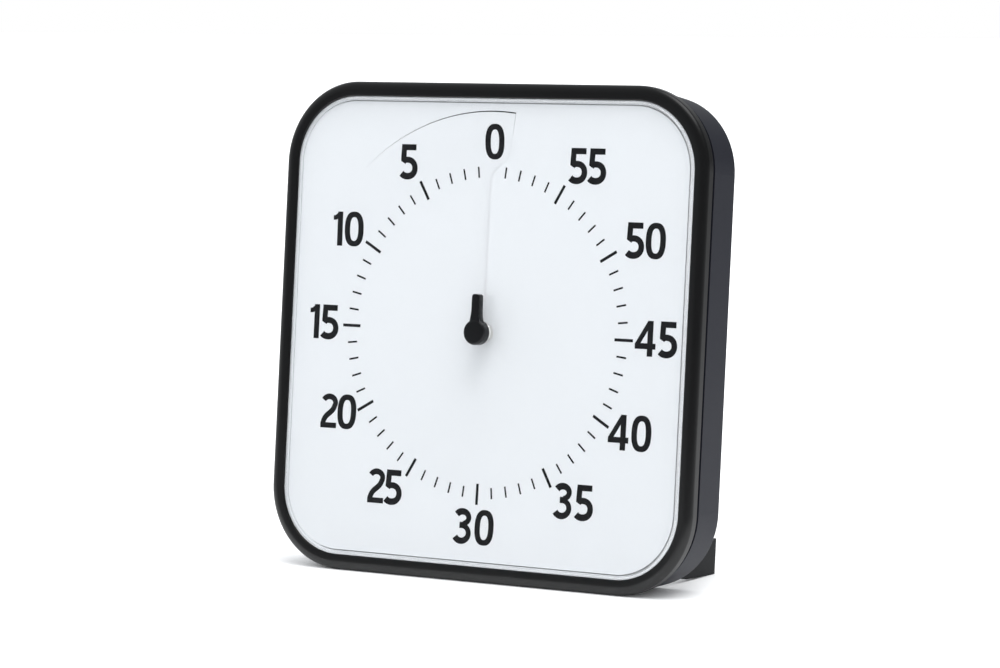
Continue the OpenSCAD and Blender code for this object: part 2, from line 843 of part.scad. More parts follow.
module battery_spring() {
    turns = 4;
    wire = 0.35;
    color([0.8, 0.8, 0.82]) stand() translate([-28.9, battery_y, cell_z]) {
        block([-0.1, 0.3], [-6, 6], [-6, 7]);
        rotate([0, 90, 0]) for (k = [0:turns - 1]) {
            translate([0, 0, 0.6 + k]) rotate_extrude() translate([5 - 0.7 * k, 0]) {
                circle(wire, $fn = 16);
            }
        }
        for (k = [0:turns - 1]) block([0.2, 0.7 + k], [-wire, wire], [4.6 - 0.7 * k, 5.3 - 0.7 * k]);
    }
}

module battery_contact() {
    color([0.8, 0.8, 0.82]) stand() translate([28.5, battery_y, cell_z]) {
        block([0.1, 0.5], [-6, 6], [-6, 7]);
        translate([0.2, 0, 0]) rotate([0, -90, 0]) cylinder(3.2, r = 2);
    }
}

// The door turns on two stub pins at its lower edge.
module battery_door() {
    outer = -back_depth;
    color([0.2, 0.2, 0.22]) stand() difference() {
        union() {
            translate([0, battery_y, 0]) difference() {
                rounded_block(66, 24, 3, outer, outer + door_t);
                block([-34, 34], [-13, -8], [outer - 1, outer + 3]);
            }
            block([-31, 31], [door_y, battery_y - 7.9], [outer, outer + door_t]);
            along_x(door_y, door_z, -31, 31, door_r);
            along_x(door_y, door_z, -32.6, 32.6, 0.8);
            for (k = [-2:2]) block([-6, 6], [battery_y + 4.7 + 0.8 * k, battery_y + 5.1 + 0.8 * k],
                                   [outer - 0.4, outer + 0.5]);
        }
        translate([0, battery_y + 12, outer - 0.9]) sphere(2.4);
    }
}

// Two insulated leads along the inside, from the battery contacts to the board.
module lead(route, r) {
    for (k = [0:len(route) - 2]) {
        run = route[k + 1] - route[k];
        length = norm(run);
        translate(route[k]) rotate([0, acos(run[2] / length), atan2(run[1], run[0])]) {
            translate([0, 0, -r / 2]) cylinder(length + r, r = r, $fn = 8);
        }
    }
}

module battery_leads() {
    color([0.75, 0.1, 0.1]) stand() {
        lead([[28.3, -62, -21.2], [28.3, -62, -19], [44, -52, -19], [44, -30, -19],
              [54, -18, -27.5]], 0.6);
        lead([[-28.3, -62, -21.2], [-28.3, -62, -19], [-20, -46, -19], [36, -46, -19],
              [41, -30, -19], [51, -16, -27.5]], 0.6);
    }
}

// --- circuit board, sounder and alert switch ---
board_z = -30.2;
board_t = 1.6;
board_posts = [[50, 20], [82, -20]];

module circuit_board() {
    color([0.1, 0.35, 0.2]) stand() difference() {
        translate([66, 0, 0]) rounded_block(42, 48, 1.5, board_z, board_z + board_t);
        for (p = board_posts) translate([p[0], p[1], 0]) rod(1.1, board_z - 1, board_z + 3);
    }
}

module board_screws() {
    color([0.7, 0.7, 0.72]) stand() for (p = board_posts) {
        translate([p[0], p[1], board_z + board_t]) mirror([0, 0, 1]) screw(1.9, 1.2, 0.9, 5);
    }
}

module clock_chip() {
    color([0.06, 0.06, 0.07]) stand() translate([72, 4, board_z + board_t]) difference() {
        translate([0, 0, -4.5]) sphere(6);
        translate([-10, -10, -20]) cube(20);
    }
}

module crystal() {
    color([0.78, 0.78, 0.8]) stand() translate([58, -8, board_z + board_t + 1.5]) {
        rotate([0, 90, 0]) rod(1.5, 0, 8);
        for (y = [-0.6, 0.6]) block([-2.5, 0.1], [y - 0.2, y + 0.2], [-1.5, -1]);
        block([-2.5, -2], [-0.8, 0.8], [-1.5, -1.3]);
        block([-0.3, 0.1], [-0.8, 0.8], [-1.5, 0]);
    }
}

module sounder() {
    color([0.1, 0.1, 0.1]) stand() translate([sounder_x, sounder_y, 0]) difference() {
        rod(8, -36.2, board_z);
        rod(1.2, -37, -33);
    }
}

module switch_body() {
    color([0.6, 0.6, 0.62]) stand() translate([switch_x, switch_y, 0]) difference() {
        block([-6, 6], [-3, 3], [-34.6, board_z]);
        block([-4.2, 4.2], [-1.6, 1.6], [-35, -31.4]);
    }
}

module switch_slider() {
    color([0.12, 0.12, 0.12]) stand() translate([switch_x - 2, switch_y, 0]) {
        block([-2, 2], [-1.4, 1.4], [-38.6, -31.6]);
        for (k = [-1:1]) block([k * 1.2 - 0.3, k * 1.2 + 0.3], [-1.4, 1.4], [-39, -38]);
    }
}

// --- feet: each turns on a steel pin and folds flat into its pocket ---
module foot_side_view() {
    back_slope = lean - 2.5;
    low_at = foot_len - 36;
    low_y = tip_y - 36 * tan(back_slope);
    tip = [foot_len - tip_round, foot_top - tip_round];
    polygon([
        [-3, foot_top], for (a = [90:-15:0]) tip + tip_round * [cos(a), sin(a)],
        [foot_len, tip_y], [low_at, low_y], [10, hinge_low + 0.4], [-3, hinge_low + 0.4]
    ]);
}

module foot(side) {
    color([0.16, 0.16, 0.17]) on_table() translate([side * hinge_x, 0, foot_z]) difference() {
        intersection() {
            rotate([90, 90, 0]) linear_extrude(400, center = true) {
                translate([0, -foot_t / 2]) square([foot_len - foot_t / 2, foot_t]);
                translate([foot_len - foot_t / 2, 0]) circle(foot_t / 2);
                circle(2.4);
            }
            rotate([0, 90, 0]) linear_extrude(8, center = true) foot_side_view();
        }
        translate([0, foot_top + 1, 0]) rotate([90, 0, 0]) cylinder(30, r = 1.2 + run_gap);
    }
}

module foot_left() {
    foot(-1);
}

module foot_right() {
    foot(1);
}

module foot_pins() {
    color([0.75, 0.75, 0.78]) stand() for (side = [-1, 1]) {
        foot_axis(side, hinge_low - 2.2, pocket_top + 4, 1.2);
    }
}

front_bezel();
lens();
dial();
dial_carrier();
bezel_screws();
time_disc();
disc_hub();
knob();
knob_collar();
spindle();
clutch_washer();
movement_case();
movement_cover();
movement_screws();
sealing_washer();
fixing_nut();
centre_wheel();
third_wheel();
seconds_wheel();
intermediate_wheel();
rotor();
stator();
coil();
rear_shell();
case_screws();
hanger_plate();
hanger_screws();
battery_tray();
battery_cell();
battery_spring();
battery_contact();
battery_door();
battery_leads();
circuit_board();
board_screws();
clock_chip();
crystal();
sounder();
switch_body();
switch_slider();
foot_left();
foot_right();
foot_pins();
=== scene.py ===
"""Looks of a visual countdown timer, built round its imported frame.

Every piece is drawn in the dial's own frame, in millimetres: X right, Y up the face,
Z towards the viewer, with the origin where the spindle crosses the dial.
"""

import json
import math

import bmesh
import bpy
import numpy as np
from mathutils import Matrix, Vector


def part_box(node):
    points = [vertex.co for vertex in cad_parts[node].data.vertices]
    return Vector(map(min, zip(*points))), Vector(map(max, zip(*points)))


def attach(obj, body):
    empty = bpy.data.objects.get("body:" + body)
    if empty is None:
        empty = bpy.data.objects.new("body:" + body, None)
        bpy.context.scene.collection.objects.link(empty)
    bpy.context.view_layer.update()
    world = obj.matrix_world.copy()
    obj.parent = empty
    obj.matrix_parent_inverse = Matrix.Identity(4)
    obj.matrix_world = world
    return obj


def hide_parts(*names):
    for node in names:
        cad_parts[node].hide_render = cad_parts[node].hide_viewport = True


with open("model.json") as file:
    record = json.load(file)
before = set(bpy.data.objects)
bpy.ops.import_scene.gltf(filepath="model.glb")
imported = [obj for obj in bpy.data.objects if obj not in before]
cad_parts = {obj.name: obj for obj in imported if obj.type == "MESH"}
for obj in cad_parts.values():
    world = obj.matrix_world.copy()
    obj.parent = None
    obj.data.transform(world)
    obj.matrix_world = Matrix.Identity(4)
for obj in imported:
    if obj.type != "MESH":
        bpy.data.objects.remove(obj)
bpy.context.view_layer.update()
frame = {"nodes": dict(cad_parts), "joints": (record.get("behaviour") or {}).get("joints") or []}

# ---------------------------------------------------------------------------------------
# The dial's frame. The knob turns about the middle of the dial, so its joint gives both
# the origin and the direction that the face looks in.
MM = 0.001
knob_joint = next(j for j in frame["joints"] if j["name"] == "knob_turn")
RIGHT = Vector((1, 0, 0))
TOWARDS = Vector(knob_joint["axis"]).normalized()
UP = TOWARDS.cross(RIGHT)
ORIGIN = Vector(knob_joint["pos_m"])
DIAL_TO_ROW = Matrix.Translation(ORIGIN) @ Matrix((RIGHT, UP, TOWARDS)).transposed().to_4x4()


def direction(v):
    return v[0] * RIGHT + v[1] * UP + v[2] * TOWARDS


# ---------------------------------------------------------------------------------------
# Camera: a long lens, low on the right, turned a little past level.
LENS_MM = 139.8
SENSOR_MM = 36.0
CAMERA_AT = Vector((1276.0, 26.4, 1993.0))
CAMERA_RIGHT = (0.84308, 0.04783, -0.53566)
CAMERA_UP = (-0.04644, 0.99879, 0.01609)
CAMERA_BACK = (0.53578, 0.01131, 0.84428)

camera = bpy.data.objects.new("camera", bpy.data.cameras.new("camera"))
bpy.context.collection.objects.link(camera)
camera.data.lens = LENS_MM
camera.data.sensor_width = SENSOR_MM
camera.data.clip_start = 0.05
camera.data.clip_end = 50
axes = [direction(v) for v in (CAMERA_RIGHT, CAMERA_UP, CAMERA_BACK)]
camera.matrix_world = (
    Matrix.Translation(DIAL_TO_ROW @ (CAMERA_AT * MM)) @ Matrix(axes).transposed().to_4x4()
)
bpy.context.scene.camera = camera
bpy.context.scene.view_settings.view_transform = "Standard"


# ---------------------------------------------------------------------------------------
# Front bezel: an injection-moulded frame in black ABS with a satin skin. Its outer edge
# is rounded, its face falls gently to the lens, and a lip traps the lens flange.
class Sock:
    """A node's socket that can stand in an arithmetic expression."""

    def __init__(self, net, socket):
        self.net, self.socket = net, socket

    def math(self, operation, *others):
        return self.net.add(
            "ShaderNodeMath", {"operation": operation}, dict(enumerate((self, *others)))
        )

    def __add__(self, other):
        return self.math("ADD", other)

    def __sub__(self, other):
        return self.math("SUBTRACT", other)

    def __rsub__(self, other):
        return self.net.add("ShaderNodeMath", {"operation": "SUBTRACT"}, {0: other, 1: self})

    def __mul__(self, other):
        return self.math("MULTIPLY", other)

    def __truediv__(self, other):
        return self.math("DIVIDE", other)

    def above(self, limit):
        return self.math("GREATER_THAN", limit)

    def below(self, limit):
        return self.math("LESS_THAN", limit)

    def clamped(self):
        return self.math("MAXIMUM", 0.0).math("MINIMUM", 1.0)

    __rmul__ = __mul__


class Net:
    """A node tree, with one method that adds any node to it."""

    def __init__(self, tree):
        self.tree = tree

    def add(self, kind, settings=(), inputs=(), out=0):
        """Sets the node's settings, then its values and links, and returns one output."""
        node = self.tree.nodes.new(kind)
        for name, value in dict(settings).items():
            if name == "stops":
                ramp = node.color_ramp
                while len(ramp.elements) < len(value):
                    ramp.elements.new(0.5)
                for element, (place, shade) in zip(ramp.elements, value):
                    element.position, element.color = place, (*shade, 1)
            else:
                setattr(node, name, value)
        for name, value in dict(inputs).items():
            for source in value if isinstance(value, list) else [value]:
                if isinstance(source, Sock):
                    self.tree.links.new(source.socket, node.inputs[name])
                else:
                    node.inputs[name].default_value = source
        return Sock(self, node.outputs[out]) if len(node.outputs) else None

    def noise(self, point, per_metre, detail=3.0):
        return self.add("ShaderNodeTexNoise", inputs={
            "Vector": point, "Scale": per_metre, "Detail": detail,
        })

    def tinted(self, amount, low, high):
        """A colour that goes from low to high as amount goes from 0 to 1."""
        return self.add(
            "ShaderNodeMix", {"data_type": "RGBA"},
            {0: amount, 6: (*low, 1), 7: (*high, 1)}, out=2,
        )

    def bump(self, height, strength, depth_mm):
        return self.add("ShaderNodeBump", inputs={
            "Strength": strength, "Distance": depth_mm * MM, "Height": height,
        })


def new_material(name):
    material = bpy.data.materials.new(name)
    material.use_nodes = True
    material.node_tree.nodes.clear()
    return material, Net(material.node_tree)


def object_point(net, scale=(1, 1, 1)):
    point = net.add("ShaderNodeTexCoord", out="Object")
    return net.add("ShaderNodeMapping", inputs={"Vector": point, "Scale": scale})


def set_surface(net, shader):
    net.add("ShaderNodeOutputMaterial", inputs={"Surface": shader})


FLOW_PER_METRE = 14.0
FLOW_GLOSS = 0.08       # how far the flow marks, and then the grain, spread the roughness
GRAIN_GLOSS = 0.06
GRAIN_DEPTH_MM = 0.2


def moulded(
    name, tone, roughness, grain=0.03, grain_per_metre=2600.0, spread=0.12, shine=0.5
):
    """Moulded plastic: a spark-eroded grain, faint flow marks and slightly uneven gloss."""
    material, net = new_material(name)
    point = object_point(net)
    flow = net.noise(point, FLOW_PER_METRE)
    fine = net.noise(point, grain_per_metre, 2.0)
    low = [c * (1 - spread) for c in tone]
    high = [min(1, c * (1 + spread)) for c in tone]
    least_rough = roughness - (FLOW_GLOSS + GRAIN_GLOSS) / 2
    set_surface(net, net.add("ShaderNodeBsdfPrincipled", inputs={
        "Base Color": net.tinted(flow, low, high),
        "Roughness": flow * FLOW_GLOSS + fine * GRAIN_GLOSS + least_rough,
        "Normal": net.bump(fine, grain, GRAIN_DEPTH_MM),
        "Specular IOR Level": shine,
    }))
    return material


def link_mesh(name, bm, body, material, sharp=35.0):
    """Puts a mesh drawn in the dial's frame into the row's frame and hands it to a body."""
    for edge in bm.edges:
        if len(edge.link_faces) == 2 and edge.calc_face_angle(0) > math.radians(sharp):
            edge.smooth = False
    for face in bm.faces:
        face.smooth = True
    bm.transform(DIAL_TO_ROW @ Matrix.Scale(MM, 4))
    mesh = bpy.data.meshes.new(name)
    bm.to_mesh(mesh)
    bm.free()
    mesh.materials.append(material)
    piece = bpy.data.objects.new(name, mesh)
    bpy.context.collection.objects.link(piece)
    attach(piece, body)
    return piece


def paint(material, *names):
    """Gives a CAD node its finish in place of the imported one."""
    for name in names:
        mesh = frame["nodes"][name].data
        mesh.materials.clear()
        mesh.materials.append(material)


CORE = 101.0            # centres of the four corner arcs
CORNER_STEPS = 28
CORNERS = [(CORE, CORE, 0), (-CORE, CORE, 90), (-CORE, -CORE, 180), (CORE, -CORE, 270)]


def arc(cx, cy, r, start, end, steps, width=None):
    """Part of a circle, or of an ellipse where its half width differs from its half height."""
    angles = np.radians(np.linspace(start, end, steps + 1))
    return [(cx + (width or r) * math.cos(a), cy + r * math.sin(a)) for a in angles]


def case_rings(bm, profile):
    """Sets a profile of (distance from the corner centres, height) at each step of the case."""
    rings = []
    for x, y, start in CORNERS:
        for step in range(CORNER_STEPS + 1):
            a = math.radians(start + 90 * step / CORNER_STEPS)
            rings.append([
                bm.verts.new((x + d * math.cos(a), y + d * math.sin(a), z)) for d, z in profile
            ])
    return rings


def sweep_round_case(profile):
    """Joins a closed profile's places round the case into one ring of moulding."""
    bm = bmesh.new()
    rings = case_rings(bm, profile)
    for k, ring in enumerate(rings):
        after = rings[(k + 1) % len(rings)]
        for i in range(len(profile)):
            j = (i + 1) % len(profile)
            bm.faces.new((ring[i], ring[j], after[j], after[i]))
    bmesh.ops.recalc_face_normals(bm, faces=bm.faces)
    return bm


BEZEL_D = 51.0          # each D is a distance outwards from the corner centres
SEAM_Z = -4.4
RIDGE_Z = 3.5
ROLL = (5.5, 3.5)       # half width and half height of the edge's rounding
LIP_D = 41.7
LIP_R = 1.2
LIP_Z = 1.75            # middle of the lip's rounding
SEAT_Z = 1.7
SEAT_D = (43.5, 44.7)   # end of the seat on the lens flange, and start of the slope behind
WALL_D = 48.7           # inner side of the outer wall
WALL_TOP_Z = -0.4
EDGE_BREAK = 0.3        # small chamfer that a moulded edge has
bezel_profile = (
    [(BEZEL_D - EDGE_BREAK, SEAM_Z), (BEZEL_D, SEAM_Z + EDGE_BREAK)]
    + arc(BEZEL_D - ROLL[0], RIDGE_Z - ROLL[1], ROLL[1], 0, 87, 20, ROLL[0])
    + arc(LIP_D + LIP_R, LIP_Z, LIP_R, 96, 180, 8)
    + [(d, SEAT_Z) for d in (LIP_D, *SEAT_D)]
    + [(WALL_D, WALL_TOP_Z), (WALL_D, SEAM_Z)]
)
bezel_plastic = moulded(
    "satin black plastic", (0.0055, 0.0056, 0.006), 0.33, grain=0.05, shine=0.4
)
bezel = link_mesh(
    "bezel_frame", sweep_round_case(bezel_profile), "case", bezel_plastic
)
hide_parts("front_bezel")


# ---------------------------------------------------------------------------------------
# Rear shell, battery door and feet: a deeper moulding in charcoal ABS with a finer,
# more matt grain, drawn in towards the back so that it leaves its mould.
shell_plastic = moulded(
    "charcoal plastic", (0.0135, 0.0145, 0.0215), 0.48, grain=0.09, grain_per_metre=1800.0,
    shine=0.13,
)
paint(shell_plastic, "rear_shell", "battery_door")
foot_plastic = moulded("foot plastic", (0.008, 0.0085, 0.0095), 0.5, grain=0.08, shine=0.12)
paint(foot_plastic, "foot_left", "foot_right")


# ---------------------------------------------------------------------------------------
# Dial: one white polystyrene sheet. It is cut along a radius and pressed into one turn
# of a screw, so that its left edge lies a pitch behind its right edge. The slit swings
# round the 0, and an arc slot lets the flap beside it sink.
def shaped_by_nodes(name, rule, material, sizes, start=None):
    """Runs a rule as Geometry Nodes with named inputs and returns the plain mesh it makes."""
    tree = bpy.data.node_groups.new(name, "GeometryNodeTree")
    net = Net(tree)
    tree.interface.new_socket("Made", in_out="OUTPUT", socket_type="NodeSocketGeometry")
    tree.interface.new_socket("Start", in_out="INPUT", socket_type="NodeSocketGeometry")
    keys = {}
    for size, value in sizes.items():
        kind = "NodeSocketInt" if isinstance(value, int) else "NodeSocketFloat"
        socket = tree.interface.new_socket(size, in_out="INPUT", socket_type=kind)
        keys[size] = socket.identifier
    outputs = tree.nodes.new("NodeGroupInput").outputs
    made = rule(net, {output.name: Sock(net, output) for output in outputs if output.name})
    made = net.add("GeometryNodeRealizeInstances", inputs={"Geometry": made})
    made = net.add("GeometryNodeSetMaterial", inputs={"Geometry": made, "Material": material})
    net.add("NodeGroupOutput", inputs={"Made": made})
    carrier = bpy.data.objects.new(name, start or bpy.data.meshes.new(name))
    bpy.context.collection.objects.link(carrier)
    modifier = carrier.modifiers.new(name, "NODES")
    modifier.node_group = tree
    for size, value in sizes.items():
        modifier[keys[size]] = value
    evaluated = carrier.evaluated_get(bpy.context.evaluated_depsgraph_get())
    mesh = bpy.data.meshes.new_from_object(evaluated)
    bpy.data.objects.remove(carrier)
    bm = bmesh.new()
    bm.from_mesh(mesh)
    bpy.data.meshes.remove(mesh)
    return bm


def smooth(t):
    t = t.clamped()
    return t * t * (3 - 2 * t)


DEGREE = math.pi / 180
SWERVE_OVER = 17.0


def slit_turn(r, given):
    return smooth((r - given["Screw Radius"]) / SWERVE_OVER) * given["Swerve"]


def screw_height(r, share, given):
    """Height of the pressed sheet at a radius, after a share of one turn from its slit."""
    flat = smooth((r - given["Screw Radius"]) / (given["Fade Radius"] - given["Screw Radius"]))
    return (given["Low"] + given["Rise"] * share) * (1 - flat)


def case_radius(turn, d):
    """Distance from the middle to the case's outline, moved out by d from its core."""
    across = (turn * DEGREE).math("SINE").math("ABSOLUTE")
    along = (turn * DEGREE).math("COSINE").math("ABSOLUTE")
    flat = (d + CORE) / across.math("MAXIMUM", along)
    half_chord = (across + along) * CORE
    corner = half_chord + (half_chord * half_chord - 2 * CORE * CORE + d * d).math("SQRT")
    on_corner = (flat * across.math("MINIMUM", along)).above(CORE)
    return flat + (corner - flat) * on_corner


WELD_MM = 0.002


def thick(net, sheet, depth):
    """Closes a sheet into a plate whose front it is."""
    turned = net.add("GeometryNodeFlipFaces", inputs={"Mesh": sheet})
    drop = net.add("ShaderNodeCombineXYZ", inputs={"Z": -1.0})
    back = net.add("GeometryNodeExtrudeMesh", {"mode": "FACES"}, {
        "Mesh": turned, "Offset": drop, "Offset Scale": depth, "Individual": False,
    })
    both = net.add("GeometryNodeJoinGeometry", inputs={"Geometry": [sheet, back]})
    return net.add(
        "GeometryNodeMergeByDistance", inputs={"Geometry": both, "Distance": WELD_MM}
    )


def pressed_sheet(net, given):
    """Rings of points from the hole out: the screw, its fade, and a plain rim past the slot."""
    steps = given["Turn Steps"]
    edge = given["Plain Rings"] + given["Fade Rings"]
    sheet = net.add("GeometryNodeMeshGrid", inputs={
        "Vertices X": edge + given["Rim Rings"] + 1, "Vertices Y": steps + 1,
    })
    index = net.add("GeometryNodeInputIndex")
    row = (index / (steps + 1)).math("FLOOR")
    share = (index - row * (steps + 1)) / steps
    near = share * 360 + given["Swerve"] - share.above(0.5) * 360
    open_here = near.above(given["Slot From"]) * near.below(given["Slot To"])
    slot = open_here * given["Slot Shift"] * (
        (near + (90 - given["Slot To"] - SLOT_TAIL)) * DEGREE
    ).math("COSINE")
    plain = (row / given["Plain Rings"]).clamped()
    fading = ((row - given["Plain Rings"]) / given["Fade Rings"]).clamped()
    on_rim = row.above(edge + 0.5)
    at_edge = row.above(edge - 0.5) - on_rim
    r = (given["Hole Radius"] + plain * (given["Screw Radius"] - given["Hole Radius"])
         + fading * (given["Slot Radius"] - given["Screw Radius"]) - at_edge * slot)
    slit = (given["Slit Half"] / r).math("ARCSINE") / DEGREE + given["Slit Turn"]
    slit = slit * (1 - on_rim) * (1 - at_edge * (1 - open_here))
    turn = slit_turn(r, given) + share * 360 + slit * (1 - 2 * share)
    out = ((row - edge - 1) / (given["Rim Rings"] - 1)).clamped()
    r = r + on_rim * out * (case_radius(turn, given["Rim Distance"]) - r)
    place = net.add("ShaderNodeCombineXYZ", inputs={
        "X": 0 - r * (turn * DEGREE).math("SINE"), "Y": r * (turn * DEGREE).math("COSINE"),
        "Z": screw_height(r, share, given),
    })
    sheet = net.add("GeometryNodeSetPosition", inputs={"Geometry": sheet, "Position": place})
    gone = net.add(
        "GeometryNodeFieldOnDomain", {"data_type": "BOOLEAN", "domain": "POINT"},
        {"Value": (at_edge + on_rim * row.below(edge + 1.5)) * open_here},
    )
    sheet = net.add(
        "GeometryNodeDeleteGeometry", {"domain": "FACE"}, {"Geometry": sheet, "Selection": gone}
    )
    return thick(net, sheet, given["Thickness"])


PITCH = 1.8
SHEET_D = 43.3
DIAL_T = 0.5
SLOT_TAIL = 5.0         # the slot ends this many degrees before its two arcs meet
DIAL_RULE = {
    "Screw Radius": 93.0, "Fade Radius": 133.5, "Swerve": -6.6, "Low": -PITCH, "Rise": PITCH,
}


def sheet_plastic(name, tone, roughness):
    """Calendered sheet: even in tone, with a skin as fine as an eggshell's."""
    material, net = new_material(name)
    point = object_point(net)
    skin = net.noise(point, 900.0, 2.0)
    set_surface(net, net.add("ShaderNodeBsdfPrincipled", inputs={
        "Base Color": net.tinted(net.noise(point, 9.0), [c * 0.985 for c in tone], tone),
        "Roughness": skin * 0.08 + roughness,
        "Normal": net.bump(skin, 0.02, 0.1),
    }))
    return material


dial_white = sheet_plastic("white dial sheet", (0.87, 0.886, 0.902), 0.42)
dial_bm = shaped_by_nodes("dial sheet", pressed_sheet, dial_white, DIAL_RULE | {
    "Turn Steps": 360, "Plain Rings": 12, "Fade Rings": 34, "Rim Rings": 8,
    "Hole Radius": 6.2, "Slot Radius": 135.3, "Slot Shift": 0.95, "Slot From": -7.0,
    "Slot To": 43.5, "Rim Distance": SHEET_D, "Slit Half": 0.15, "Slit Turn": 0.0,
    "Thickness": DIAL_T,
})
dial_sheet = link_mesh("dial_sheet", dial_bm, "case", dial_white)
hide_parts("dial")


# ---------------------------------------------------------------------------------------
# Minute marks: pad-printed in black on the dial, a short thin one for every minute and a
# long thick one for every fifth. The 0 has none.
INK_T = 0.05
INK_LIFT = 0.025
MARK_R = 98.1
MARK_SIZE = (1.15, 6.8)
FIFTH_R = 98.7
FIFTH_SIZE = (1.85, 12.9)


def laid_on_dial(net, given, drawing):
    """Drops a flat drawing on the pressed sheet and gives the ink its thickness."""
    place = net.add("GeometryNodeInputPosition")
    x, y = (net.add("ShaderNodeSeparateXYZ", inputs={"Vector": place}, out=k) for k in "XY")
    r = (x * x + y * y).math("SQRT")
    turn = (0 - x).math("ARCTAN2", y) / DEGREE
    share = ((turn - slit_turn(r, given)) / 360).math("FRACT")
    laid = net.add("ShaderNodeCombineXYZ", inputs={
        "X": x, "Y": y, "Z": screw_height(r, share, given) + INK_LIFT,
    })
    drawing = net.add("GeometryNodeSetPosition", inputs={"Geometry": drawing, "Position": laid})
    return thick(net, drawing, INK_T)


def ring_of_marks(net, given):
    """One mark at each step of a circle, apart from every one that the other ring holds."""
    circle = net.add("GeometryNodeMeshCircle", inputs={
        "Vertices": given["Count"], "Radius": given["Radius"],
    })
    bar = net.add("GeometryNodeMeshGrid", inputs={
        "Size X": given["Length"], "Size Y": given["Width"], "Vertices X": 9, "Vertices Y": 3,
    })
    index = net.add("GeometryNodeInputIndex")
    marks = net.add("GeometryNodeInstanceOnPoints", inputs={
        "Points": circle, "Instance": bar,
        "Selection": index.math("MODULO", given["Leave Out"]).above(0.5),
        "Rotation": net.add("ShaderNodeCombineXYZ", inputs={
            "Z": index * (2 * math.pi) / given["Count"],
        }),
    })
    marks = net.add("GeometryNodeRealizeInstances", inputs={"Geometry": marks})
    upright = net.add("ShaderNodeCombineXYZ", inputs={"Z": math.pi / 2})
    marks = net.add(
        "GeometryNodeTransform", inputs={"Geometry": marks, "Rotation": upright}
    )
    return laid_on_dial(net, given, marks)


ink, net = new_material("dial ink")
ink_body = net.noise(object_point(net), 700.0)
set_surface(net, net.add("ShaderNodeBsdfPrincipled", inputs={
    "Base Color": net.tinted(ink_body, (0.003, 0.003, 0.004), (0.007, 0.007, 0.009)),
    "Roughness": ink_body * 0.1 + 0.4,
    "Specular IOR Level": 0.2,
}))

marks_bm = shaped_by_nodes("minute marks", ring_of_marks, ink, DIAL_RULE | {
    "Count": 60, "Leave Out": 5, "Radius": MARK_R, "Width": MARK_SIZE[0],
    "Length": MARK_SIZE[1],
})
fifths_bm = shaped_by_nodes("fifth marks", ring_of_marks, ink, DIAL_RULE | {
    "Count": 12, "Leave Out": 12, "Radius": FIFTH_R, "Width": FIFTH_SIZE[0],
    "Length": FIFTH_SIZE[1],
})
link_mesh("minute_marks", marks_bm, "case", ink)
link_mesh("fifth_marks", fifths_bm, "case", ink)


# ---------------------------------------------------------------------------------------
# Minute numbers: the same black print, anticlockwise from 0 at the top in steps of five.
# Each digit is drawn as strokes of a condensed face with even weight.
DIGIT_H = 21.4
STEM = 3.85
BAR = 3.4


def ellipse(cx, cy, rx, ry, start, end, steps=20, power=2.0):
    """Part of an ellipse, or with a higher power of one with fuller shoulders."""
    points = []
    for a in np.radians(np.linspace(start, end, steps + 1)):
        c, s = math.cos(a), math.sin(a)
        points.append((cx + rx * math.copysign(abs(c) ** (2 / power), c),
                       cy + ry * math.copysign(abs(s) ** (2 / power), s)))
    return points


def line(start, end, steps=8):
    return [tuple(np.array(start) + (np.array(end) - start) * t)
            for t in np.linspace(0, 1, steps + 1)]


def closed_ellipse(cx, cy, rx, ry):
    return ellipse(cx, cy, rx, ry, 0, 360, 48, 2.5)[:-1]


# Each digit: its width, and its strokes as (path, width), where two widths are those of the
# path's start and end. A ring is (outer path, inner path).
DIGITS = {
    "0": (13.8, [("ring", closed_ellipse(6.9, 10.7, 6.9, 10.85),
                  closed_ellipse(6.9, 10.7, 3.0, 7.4))]),
    "1": (7.1, [(line((5.1, 0), (5.1, 21.3)), STEM),
                (line((0, 17.5), (1.6, 17.5)) + line((2.2, 17.8), (4.6, 19.7)), 2.9)]),
    "2": (12.9, [(ellipse(6.6, 15.8, 4.5, 3.85, 156, -28)
                  + [(10.0, 12.6), (9.0, 11.1), (7.4, 9.7)]
                  + ellipse(11.5, 1.4, 9.2, 9.0, 126, 180), 3.6),
                 (line((0.5, BAR / 2), (12.4, BAR / 2)), BAR)]),
    "3": (13.2, [(ellipse(6.65, 15.9, 4.6, 3.75, 152, -82), (4.3, 3.3)),
                 (line((4.8, 11.3), (7.6, 11.3)), 3.8),
                 (ellipse(6.4, 6.4, 5.15, 4.75, 82, -150), (3.3, 4.2))]),
    "4": (14.5, [(line((10.6, 0), (10.6, 21.3)), STEM),
                 (line((0.1, 6.1), (14.5, 6.1)), 3.5),
                 (line((10.05, 20.35), (1.3, 6.4)), 3.1)]),
    "5": (13.3, [(line((1.6, 19.5), (12.2, 19.5)), 3.7),
                 (line((3.5, 20.9), (3.05, 11.0)), 3.8),
                 ([(2.9, 10.0), (3.4, 10.9), (4.3, 11.6)]
                  + ellipse(5.9, 6.7, 5.5, 5.1, 92, -140, power=2.15), (3.7, 4.2))]),
}
# Minute, middle of the number, gap between its digits.
NUMBERS = [
    (0, 0.9, 116.5, 0.0), (5, -61.5, 103.0, 0.0), (10, -104.2, 60.0, 1.5),
    (15, -119.2, 1.5, 0.8), (20, -105.4, -54.0, 0.0), (25, -67.8, -98.4, -0.5),
    (30, -1.3, -118.7, 2.6), (35, 69.0, -98.5, 2.0), (40, 106.0, -54.9, 1.9),
    (45, 121.1, 1.8, 1.5), (50, 110.6, 59.8, 1.0), (55, 67.9, 103.2, 0.0),
]


